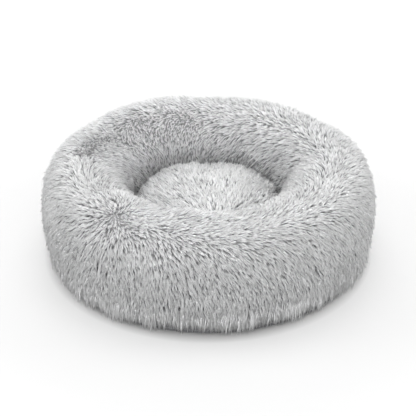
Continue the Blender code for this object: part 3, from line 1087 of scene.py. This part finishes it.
def bolster_fields(points, along):
    """The comb and the other fields on the ring's skin, per vertex."""
    grid = points.reshape(SKIN_AROUND, SKIN_ALONG, 3)
    around_way = unit(np.roll(grid, -1, axis=0) - np.roll(grid, 1, axis=0))
    down_way = unit(np.roll(grid, -1, axis=1) - np.roll(grid, 1, axis=1))
    along = np.broadcast_to(along[None, :], (SKIN_AROUND, SKIN_ALONG))
    angle = np.broadcast_to(SKIN_ANGLES[:, None], along.shape)
    turn = around_gap(angle, PUCKER_ANGLE)
    near = bump_at(turn, 0.0, 0.35)
    far = np.clip(0.5 + 0.8 * np.sin(angle), 0.0, 1.0)

    # The pile parts near the crown, on a line that wanders and lies further in towards the back.
    part_line = 0.010 - 0.038 * far + (PUCKER_ALONG - 0.010) * near
    part_line = part_line + far * (0.010 * np.sin(11 * angle + 0.8) + 0.007 * np.sin(23 * angle))

    # It radiates from the pucker, and runs sideways around the rest of the ring.
    sideways = np.where(np.abs(turn) < 0.25, turn * PUCKER_RADIUS, 0.058 * np.tanh(turn / 0.6))
    one_side = bump_at(np.clip(turn - 0.5, 0.0, None), 0.0, 1.1)
    sideways *= np.where(turn > 0, one_side, bump_at(turn, 0.0, 0.7))
    sideways += 0.022 * bump_at(around_gap(angle, math.radians(80.0)), 0.0, 0.6) * (along < 0)
    sideways += 0.030 * far
    outwards = np.clip(along - part_line, 0.0, None)
    inwards = np.clip(along - part_line + 0.020 * (1 - near) * (1 - far), None, 0.0) * (1 - 0.75 * near)
    steer = (outwards + inwards) * 1.15
    comb = around_way * sideways[..., None] + down_way * steer[..., None]
    comb = comb / (np.linalg.norm(comb, axis=-1, keepdims=True) + 0.006)

    # On the flank it hangs straight down.
    hang = 0.75 * np.clip((along - 0.115) / 0.05, 0.0, 1.0)[..., None]
    strength = np.linalg.norm(comb, axis=-1, keepdims=True)
    comb = unit(comb * (1 - hang) + np.array([0.0, 0.0, -1.0]) * hang) * strength

    # Flatter and shorter at the pucker, ruffled around it, at the rear of the nest and deep inside.
    from_pucker = pucker_distance(angle, along)
    fuzz = bump_at(from_pucker, 0.030, 0.020)
    rear = bump_at(around_gap(angle, math.radians(115.0)), 0.0, 1.3)
    rear = rear * np.clip(-0.025 - along, 0.0, 0.03) / 0.03
    deep = np.clip((-0.085 - along) / 0.03, 0.0, 1.0)
    smooth = bump_at(turn, 0.75, 0.65) * bump_at(along, 0.0, 0.028)
    tousle = (1.0 + 0.5 * rear + 0.9 * deep + 0.7 * fuzz) * (1 - 0.40 * smooth)
    lift = (1.0 - 0.35 * bump_at(from_pucker, 0.0, 0.03) + 0.35 * rear + 0.6 * deep) * (1 - 0.35 * smooth)
    reach = 1.0 - 0.25 * bump_at(from_pucker, 0.0, 0.02)

    # Above the zip the hem's pile is short. Elsewhere it is long and dense, and hides the gusset.
    from_zip = np.abs(around_gap(angle, math.radians(ZIP_MIDDLE)))
    behind = np.clip((SHORT_HALF_ANGLE - from_zip) / SHORT_FADE, 0.0, 1.0)
    low = np.clip((along - 0.125) / 0.045, 0.0, 1.0)
    hem = np.clip((along - HEM_ALONG) / 0.02, 0.0, 1.0)
    flank = np.clip((along - 0.05) / 0.04, 0.0, 1.0) * np.clip(-np.sin(angle), 0.0, 1.0)
    reach = reach * (1 - 0.62 * behind * low) * (1 + 1.2 * (1 - behind) * hem)
    lift = lift * (1 - 0.45 * (1 - behind) * hem)
    tousle = tousle * (1 + 0.30 * flank) * (1 - 0.3 * hem)
    thick = np.where((np.sin(angle) > 0.1) & (along > 0.03), 0.68, 1.0)
    thick = thick * (1 + 1.3 * (1 - behind) * hem)
    return {
        "comb": comb.reshape(-1, 3),
        "lift": lift.ravel(),
        "reach": reach.ravel(),
        "thick": thick.ravel(),
        "tousle": tousle.ravel(),
    }


class PETBED_OT_bolster(bpy.types.Operator):
    """Make the ring: its knitted cover, its lining and its stuffing"""

    bl_idname = "petbed.bolster"
    bl_label = "Ring"

    def execute(self, context):
        swell = settings().bolster.swell
        points, along = bolster_rings(swell * 0.6)
        cover = put_in_scene("bolster_cover", ring_mesh("bolster_cover", points), knitted_backing())
        at_pucker = np.exp(-((pucker_distance(SKIN_ANGLES[:, None], along[None, :]) / 0.012) ** 2))
        inflate(cover, np.where(points[..., 2] < 0.045, 1.0, at_pucker).ravel(), swell)
        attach(cover, "bolster")
        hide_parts(*(f"bolster_panel_{side}" for side in PANEL_SIDES))

        lining = finish_named("lining_weave", woven_finish, (0.62, 0.63, 0.64), 0.0008)
        inside = bolster_rings(0.008)[0][::2, ::2]
        liner = put_in_scene("bolster_lining", ring_mesh("bolster_lining", inside), lining)
        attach(liner, "bolster")
        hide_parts("bolster_liner")

        deeper = bolster_rings(0.012)[0][::2, ::2]
        stuffing = put_in_scene("bolster_stuffing", ring_mesh("bolster_stuffing", deeper), hollow_fibre())
        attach(stuffing, "bolster")
        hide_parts("bolster_filling")
        return {"FINISHED"}


def pile_values(folder, density, length_share, lift, seed, painted_shade_share=0.0):
    return {
        "Tufts": folder,
        "Density": settings().pile.density * density,
        "Length": length_share,
        "Lift": lift,
        "Clumping": CLUMPING,
        "Scatter": SCATTER,
        "Dark Share": painted_shade_share,
        "Seed": seed,
        "Finish": plush_pile(),
    }


class PETBED_OT_bolster_pile(bpy.types.Operator):
    """Comb the long pile over the ring, in bands and quarters"""

    bl_idname = "petbed.bolster_pile"
    bl_label = "Ring pile"

    def execute(self, context):
        cover = bpy.data.objects["bolster_cover"]
        along = bolster_outline()[0]
        fields = bolster_fields(points_of(cover.data), along)
        folder = tuft_kinds()
        panel_width = SKIN_AROUND // len(PANEL_SIDES)
        first_seam = round(FIRST_SEAM_ANGLE / 360 * SKIN_AROUND)
        for band, (label, low, high, density, reach, lift, painted_shade_share) in enumerate(PILE_BANDS):
            for number, side in enumerate(PANEL_SIDES):

                def keep(face, number=number, low=low, high=high):
                    """Whether the face is on this panel and in this band."""
                    rows = [index // SKIN_ALONG for index in face.vertices]
                    row = SKIN_AROUND - 1 if max(rows) - min(rows) > 1 else min(rows)
                    if (row - first_seam) % SKIN_AROUND // panel_width != number:
                        return False
                    places = [along[index % SKIN_ALONG] for index in face.vertices]
                    past_foot = max(places) - min(places) > 0.05
                    return not past_foot and low <= sum(places) / 4 < high

                values = pile_values(folder, density, reach, lift, 10 * band + number, painted_shade_share)
                stand_pile(f"pile_{label}_{side}", cover.data, keep, fields, values, "bolster")
        remove_tuft_kinds(folder)
        return {"FINISHED"}


# ---- the loose cushion ----
CUSHION_AROUND = 144
CUSHION_ALONG = 54
RIM_SWELL = 0.005               # how far the stuffed cushion stands out past its plain size
CROWN_SWELL = 0.008
ROUND_CUSHION = 2.7             # superellipse power of its crown
SIDE_WAIST = 0.004              # how far its side draws in half way up
CUSHION_PARTING = (0.02, -0.135, 0.0)   # the place that the cushion's pile is combed away from
SIDE_PILE_TOP = CUSHION_HIGH[2] - 0.045
SIDE_PILE_FOOT = 0.012


def cushion_rings(depth):
    """Skin points [around][along] from the top pole over the edge to the bottom pole."""
    cushion = settings().cushion
    inset = cushion.backing_depth + depth
    rim = CUSHION_HIGH[0] + RIM_SWELL - inset
    top = CUSHION_HIGH[2] + CROWN_SWELL - inset
    foot = CUSHION_LOW[2] + depth + 0.001
    edge = CUSHION_HIGH[2] - cushion.edge_drop - depth
    over, up = superellipse(ROUND_CUSHION, 60)
    dome = np.stack([rim * over, edge + (top - edge) * up], axis=1)
    waist = SIDE_WAIST * np.sin(np.linspace(0, math.pi, 12))
    side = np.stack([rim - waist, np.linspace(edge, foot + 0.006, 12)], 1)
    under = np.array([[rim - 0.004, foot + 0.001], [rim - 0.012, foot], [rim * 0.6, foot], [0.0, foot]])
    line = np.concatenate([dome, side[1:], under])
    travelled = np.concatenate([[0.0], np.cumsum(np.linalg.norm(np.diff(line, axis=0), axis=1))])
    keep = np.concatenate([[True], np.diff(travelled) > 1e-7])
    even = np.linspace(0.0, travelled[-1], CUSHION_ALONG)
    radius = np.interp(even, travelled[keep], line[keep, 0])
    height = np.interp(even, travelled[keep], line[keep, 1])

    # The uneven stuffing lifts the top here and there.
    angle = np.arange(CUSHION_AROUND)[:, None] * 2 * math.pi / CUSHION_AROUND
    share = radius / rim
    lumps = 0.0022 * np.sin(3 * angle + 0.7) * share * (1 - share) * 4
    lumps = lumps + 0.0018 * np.cos(5 * angle + 2.2) * share ** 2
    on_top = np.clip((height - foot) / (top - foot), 0.0, 1.0) ** 2
    x, y = radius * np.cos(angle), radius * np.sin(angle)
    return np.stack(np.broadcast_arrays(x, y, height + lumps * on_top), axis=-1)


class PETBED_OT_cushion(bpy.types.Operator):
    """Make the loose cushion: its cover, its base cloth and its stuffing"""

    bl_idname = "petbed.cushion"
    bl_label = "Cushion"

    def execute(self, context):
        skin = dome_mesh("cushion_cover", cushion_rings(0.003))
        cover = put_in_scene("cushion_cover", skin, knitted_backing())
        inflate(cover, (points_of(skin)[:, 2] < 0.03).astype(float), 0.004)
        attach(cover, "cushion")
        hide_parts("cushion_top_cover")

        inside = dome_mesh("cushion_stuffing", cushion_rings(0.010)[::2, ::2])
        stuffing = put_in_scene("cushion_stuffing", inside, hollow_fibre())
        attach(stuffing, "cushion")
        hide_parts("cushion_filling")

        low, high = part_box("cushion_base_cover")
        radius = high[0]
        disc = disc_mesh("cushion_base", radius, low[2], high[2])
        base = put_in_scene("cushion_base", disc, base_weave())
        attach(base, "cushion")
        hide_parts("cushion_base_cover")
        return {"FINISHED"}


class PETBED_OT_cushion_pile(bpy.types.Operator):
    """Comb the pile over the cushion"""

    bl_idname = "petbed.cushion_pile"
    bl_label = "Cushion pile"

    def execute(self, context):
        cover = bpy.data.objects["cushion_cover"]
        points = points_of(cover.data)
        from_middle = np.hypot(points[:, 0], points[:, 1])

        # Combed away from the parting, but not inwards at the rim, and downwards on the side.
        away = points - np.array(CUSHION_PARTING)
        away[:, 2] = 0.0
        comb = unit(away)
        outwards = unit(points * np.array([1.0, 1.0, 0.0]))
        at_rim = np.clip((from_middle - 0.08) / 0.02, 0.0, 1.0)
        inward_part = np.minimum(np.sum(comb * outwards, axis=1), 0.0) * at_rim
        comb = comb - inward_part[:, None] * outwards
        comb[:, 2] -= 0.7 * np.clip((from_middle - 0.100) / 0.015, 0.0, 1.0)

        # The comb lies along the skin.
        normals = np.empty(len(points) * 3)
        cover.data.vertices.foreach_get("normal", normals)
        normals = normals.reshape(-1, 3)
        comb = comb - np.sum(comb * normals, axis=1, keepdims=True) * normals
        edge = np.clip((from_middle - 0.085) / 0.025, 0.0, 1.0)
        fields = {
            "comb": comb / (np.linalg.norm(comb, axis=1, keepdims=True) + 0.15),
            "lift": 1.0 + 0.5 * edge,
            "reach": np.where(points[:, 2] > 0.05, 1.0 + 0.08 * edge, 0.7),
            "thick": 1.0 - 0.15 * edge,
            "tousle": 1.0 + 1.1 * edge,
        }

        def on_back(face):
            return face.center.z > SIDE_PILE_TOP and face.center.y > 0.0

        def on_front(face):
            return face.center.z > SIDE_PILE_TOP and face.center.y <= 0.0

        def on_side(face):
            return SIDE_PILE_FOOT < face.center.z <= SIDE_PILE_TOP

        folder = tuft_kinds()
        parts = (
            # name, its faces, share of the length, lift
            ("back", on_back, 1.0, 0.38),
            ("front", on_front, 1.0, 0.38),
            ("side", on_side, 0.95, 0.45),
        )
        for seed, (label, keep, reach, lift) in enumerate(parts, start=80):
            values = pile_values(folder, 1.0, reach, lift, seed)
            stand_pile(f"cushion_pile_{label}", cover.data, keep, fields, values, "cushion")
        remove_tuft_kinds(folder)
        return {"FINISHED"}


# ---- the base, its gusset and the zip ----
GUSSET_THICKNESS = 0.0015
SEAM_GAP = 0.0003               # between pieces that are sewn together
STITCH_MARGIN = 0.003           # from a cloth's edge to its row of stitches
STITCH = ((-0.0012, 0.0), (-0.0006, 0.00022), (0.0006, 0.00022), (0.0012, 0.0))
LABEL_WIDTH = 0.024
LABEL_THICKNESS = 0.0006
COIL_DEPTH = 0.0025


def stitch_mesh(name):
    """One lock stitch, lying along the local Y axis."""
    path = [(out, along, 0.0) for along, out in STITCH]
    return tube_mesh(name, path, (0.00012, 0.0002, 0.0002, 0.00012), 5)


def stitch_row(name, radius, height, start, sweep):
    pitch = settings().base.stitch_pitch
    count = int(math.radians(sweep) * radius / pitch)
    values = {
        "Count": count,
        "Radius": radius,
        "Height": height,
        "Start Angle": math.radians(start),
        "Step Angle": math.radians(sweep) / count,
        "Finish": stitch_thread(),
    }
    return row_of(name, stitch_mesh(name), values)


class PETBED_OT_base(bpy.types.Operator):
    """Make the base cloth with its rubber dots, the gusset and the blank label"""

    bl_idname = "petbed.base"
    bl_label = "Base"

    def execute(self, context):
        base = settings().base
        radius = BASE_HIGH[0]
        disc = disc_mesh("base_sheet", radius, base.dot_height, BASE_HIGH[2])
        sheet = put_in_scene("base_sheet", disc, base_weave())
        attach(sheet, "bolster")
        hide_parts("base_cloth")

        dots = put_in_scene("grip_dots", bpy.data.meshes.new("grip_dots"))
        values = {
            "Circle Radius": radius - 0.006,
            "Spacing": base.dot_spacing,
            "Dot Radius": base.dot_radius,
            "Dot Height": base.dot_height,
            "Finish": finish_named("grip_rubber", smooth_finish, (0.20, 0.20, 0.21), 0.6, 900.0),
        }
        run_tree(dots, dot_tree(), values)
        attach(dots, "bolster")

        # The gusset goes round from one end of the zip's tapes to the other.
        outer = GUSSET_HIGH[0]
        gap = arc_degrees(SEAM_GAP, outer)
        start = ZIP_MIDDLE + ZIP_TAPE_SWEEP / 2 + gap
        sweep = 360.0 - ZIP_TAPE_SWEEP - 2 * gap
        # The gusset's dark colour paints the contact shadow just under the hem.
        weave = finish_named("gusset_weave", woven_finish, base.contact_shadow_cloth_colour, 0.0006, "weave")
        section = cloth_section(outer - GUSSET_THICKNESS, outer, GUSSET_LOW[2], GUSSET_HIGH[2], 0.0001)
        gusset = put_in_scene("gusset_band", strip_mesh("gusset_band", section, start, sweep, 168), weave)
        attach(gusset, "bolster")
        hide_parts("base_gusset")
        levels = {"upper": GUSSET_HIGH[2] - STITCH_MARGIN, "lower": GUSSET_LOW[2] + STITCH_MARGIN}
        for label, level in levels.items():
            row = stitch_row(f"gusset_stitches_{label}", outer, level, start + 1, sweep - 2)
            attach(row, "bolster")

        middle = math.degrees(math.atan2(LABEL_LOW[1] + LABEL_HIGH[1], LABEL_LOW[0] + LABEL_HIGH[0]))
        inner = outer + SEAM_GAP
        wide = arc_degrees(LABEL_WIDTH, inner)
        section = cloth_section(inner, inner + LABEL_THICKNESS, LABEL_LOW[2], LABEL_HIGH[2], 0.0002)
        ribbon = strip_mesh("blank_label", section, middle - wide / 2, wide, 12)
        satin = finish_named("label_satin", woven_finish, (0.52, 0.523, 0.53), 0.0004, "weave")
        label = put_in_scene("blank_label", ribbon, satin)
        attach(label, "bolster")
        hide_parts("care_label")
        return {"FINISHED"}


class PETBED_OT_zip(bpy.types.Operator):
    """Make the zip: its tapes, its nylon coil, and the finish of its slider, tab and stops"""

    bl_idname = "petbed.zip"
    bl_label = "Zip"

    def execute(self, context):
        zip_sizes = settings().zip
        tape_cloth = finish_named("zip_tape_weave", woven_finish, zip_sizes.tape_colour, 0.0005, "weave")
        nylon = finish_named("zip_nylon", smooth_finish, zip_sizes.coil_colour, 0.35, 2500.0)
        metal = finish_named("zip_zinc", metal_finish)
        outer = GUSSET_HIGH[0]
        start = ZIP_MIDDLE - ZIP_TAPE_SWEEP / 2
        tapes = {
            "upper": (UPPER_TAPE_LOW[2], UPPER_TAPE_HIGH[2], UPPER_TAPE_HIGH[2] - STITCH_MARGIN),
            "lower": (LOWER_TAPE_LOW[2], LOWER_TAPE_HIGH[2], LOWER_TAPE_LOW[2] + STITCH_MARGIN),
        }
        for side, (low, high, level) in tapes.items():
            section = cloth_section(outer - GUSSET_THICKNESS, outer, low, high)
            name = f"zip_tape_{side}_cloth"
            tape = put_in_scene(name, strip_mesh(name, section, start, ZIP_TAPE_SWEEP, 72), tape_cloth)
            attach(tape, "bolster")
            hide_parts(f"zip_tape_{side}")
            row = stitch_row(f"zip_stitches_{side}", outer, level, start + 1, ZIP_TAPE_SWEEP - 2)
            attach(row, "bolster")

        # Each turn of the coil runs from its tape over the middle, between two turns from the other tape.
        half = (COIL_HIGH[2] - COIL_LOW[2]) / 2
        middle = (COIL_HIGH[2] + COIL_LOW[2]) / 2
        thick = zip_sizes.tooth_thickness
        inner = outer + SEAM_GAP
        path = [
            (inner + thick / 2, 0.0, half - thick),
            (inner + COIL_DEPTH * 0.55, 0.0, half - thick / 2),
            (inner + COIL_DEPTH - thick / 2, 0.0, half * 0.45),
            (inner + COIL_DEPTH - thick / 2, 0.0, -half * 0.10),
            (inner + COIL_DEPTH * 0.5, 0.0, -half * 0.22),
        ]
        radii = [thick * share for share in (0.45, 0.5, 0.5, 0.62, 0.5)]
        count = int(math.radians(ZIP_CHAIN_SWEEP) * outer / zip_sizes.tooth_pitch)
        step = math.radians(ZIP_CHAIN_SWEEP) / count
        first = math.radians(ZIP_MIDDLE - ZIP_CHAIN_SWEEP / 2)
        for number, (side, flip) in enumerate((("upper", 1.0), ("lower", -1.0))):
            name = f"zip_teeth_{side}"
            tooth = tube_mesh(name, [(x - outer, y, z * flip) for x, y, z in path], radii)
            values = {
                "Count": count,
                "Radius": outer,
                "Height": middle,
                "Start Angle": first + step * (0.25 + 0.5 * number),
                "Step Angle": step,
                "Finish": nylon,
            }
            teeth = row_of(name, tooth, values)
            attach(teeth, "bolster")
            if side == "upper":
                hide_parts("zip_coil")

        for name in ("zip_slider", "zip_pull_tab", "zip_stop_closed", "zip_stop_open"):
            for slot in frame["nodes"][name].material_slots:
                slot.material = metal
        return {"FINISHED"}


# ---- stage ----
def area_light(name, energy, size, place, towards=(0.0, 0.0, 0.1), spread=180.0):
    """A soft rectangular lamp of energy watts, aimed at a place; a narrow spread makes it a pool of light."""
    light = bpy.data.lights.new(name, "AREA")
    light.spread = math.radians(spread)
    light.energy, light.shape, light.size, light.size_y = energy, "RECTANGLE", size[0], size[1]
    obj = bpy.data.objects.new(name, light)
    obj.location = place
    obj.rotation_euler = (Vector(towards) - Vector(place)).to_track_quat("-Z", "Y").to_euler()
    bpy.context.scene.collection.objects.link(obj)


class PETBED_OT_stage(bpy.types.Operator):
    """Set the pale floor, the soft studio light and the camera"""

    bl_idname = "petbed.stage"
    bl_label = "Stage"

    def execute(self, context):
        scene = context.scene
        scene.view_settings.view_transform = "Standard"
        world = bpy.data.worlds.new("studio")
        world.use_nodes = True
        background = world.node_tree.nodes["Background"]
        background.inputs["Color"].default_value = (1.0, 1.0, 1.0, 1.0)
        background.inputs["Strength"].default_value = 0.98
        scene.world = world
        area_light("overhead", 23.0, (1.5, 1.3), (0.0, 0.35, 2.3))
        area_light("front_fill", 9.0, (1.4, 0.9), (0.0, -2.2, 1.6))
        area_light("front_low", 27.0, (2.2, 0.6), (0.0, -2.3, 0.7), (0.0, 0.0, 0.05))
        area_light("nest_light", 0.43, (0.3, 0.3), (0.0, -1.0, 1.45), (0.03, 0.08, 0.06), spread=23.0)
        area_light("rear_fill", 12.0, (1.8, 0.8), (0.0, 2.2, 1.2))
        area_light("left_side", 15.0, (0.9, 1.0), (-1.6, 0.0, 1.2))
        area_light("right_side", 11.0, (0.9, 1.2), (1.6, 0.2, 0.9))
        floor = bpy.data.meshes.new("studio_floor")
        half = 8.0
        corners = [(-half, -half, 0), (half, -half, 0), (half, half, 0), (-half, half, 0)]
        floor.from_pydata(corners, [], [(0, 1, 2, 3)])
        put_in_scene("studio_floor", floor, floor_finish("studio_floor"))

        camera = bpy.data.cameras.new("camera")
        camera.lens = 90.0
        camera.sensor_width = 36.0
        camera.clip_end = 60.0
        eye = bpy.data.objects.new("camera", camera)
        rise, distance, target = math.radians(29.5), 1.85, Vector((0.0, 0.0, 0.078))
        eye.location = target + distance * Vector((0.0, -math.cos(rise), math.sin(rise)))
        eye.rotation_euler = (target - eye.location).to_track_quat("-Z", "Y").to_euler()
        scene.collection.objects.link(eye)
        scene.camera = eye
        return {"FINISHED"}


class PETBED_PT_build(bpy.types.Panel):
    """The steps that build the bed, in order"""

    bl_idname = "PETBED_PT_build"
    bl_label = "Pet Bed"
    bl_space_type = "VIEW_3D"
    bl_region_type = "UI"
    bl_category = "Pet Bed"

    def draw(self, context):
        column = self.layout.column()
        for operator in OPERATORS:
            column.operator(operator.bl_idname)


OPERATORS = (
    PETBED_OT_bolster,
    PETBED_OT_bolster_pile,
    PETBED_OT_cushion,
    PETBED_OT_cushion_pile,
    PETBED_OT_base,
    PETBED_OT_zip,
    PETBED_OT_stage,
)
CLASSES = (
    BolsterSettings,
    PileSettings,
    CushionSettings,
    BaseSettings,
    ZipSettings,
    PetBedSettings,
    *OPERATORS,
    PETBED_PT_build,
)


def register():
    for cls in CLASSES:
        bpy.utils.register_class(cls)
    bpy.types.Scene.pet_bed = bpy.props.PointerProperty(type=PetBedSettings)


def unregister():
    del bpy.types.Scene.pet_bed
    for cls in reversed(CLASSES):
        bpy.utils.unregister_class(cls)


def main():
    register()
    bpy.ops.petbed.bolster()
    bpy.ops.petbed.bolster_pile()
    bpy.ops.petbed.cushion()
    bpy.ops.petbed.cushion_pile()
    bpy.ops.petbed.base()
    bpy.ops.petbed.zip()
    bpy.ops.petbed.stage()


if __name__ == "__main__":
    main()
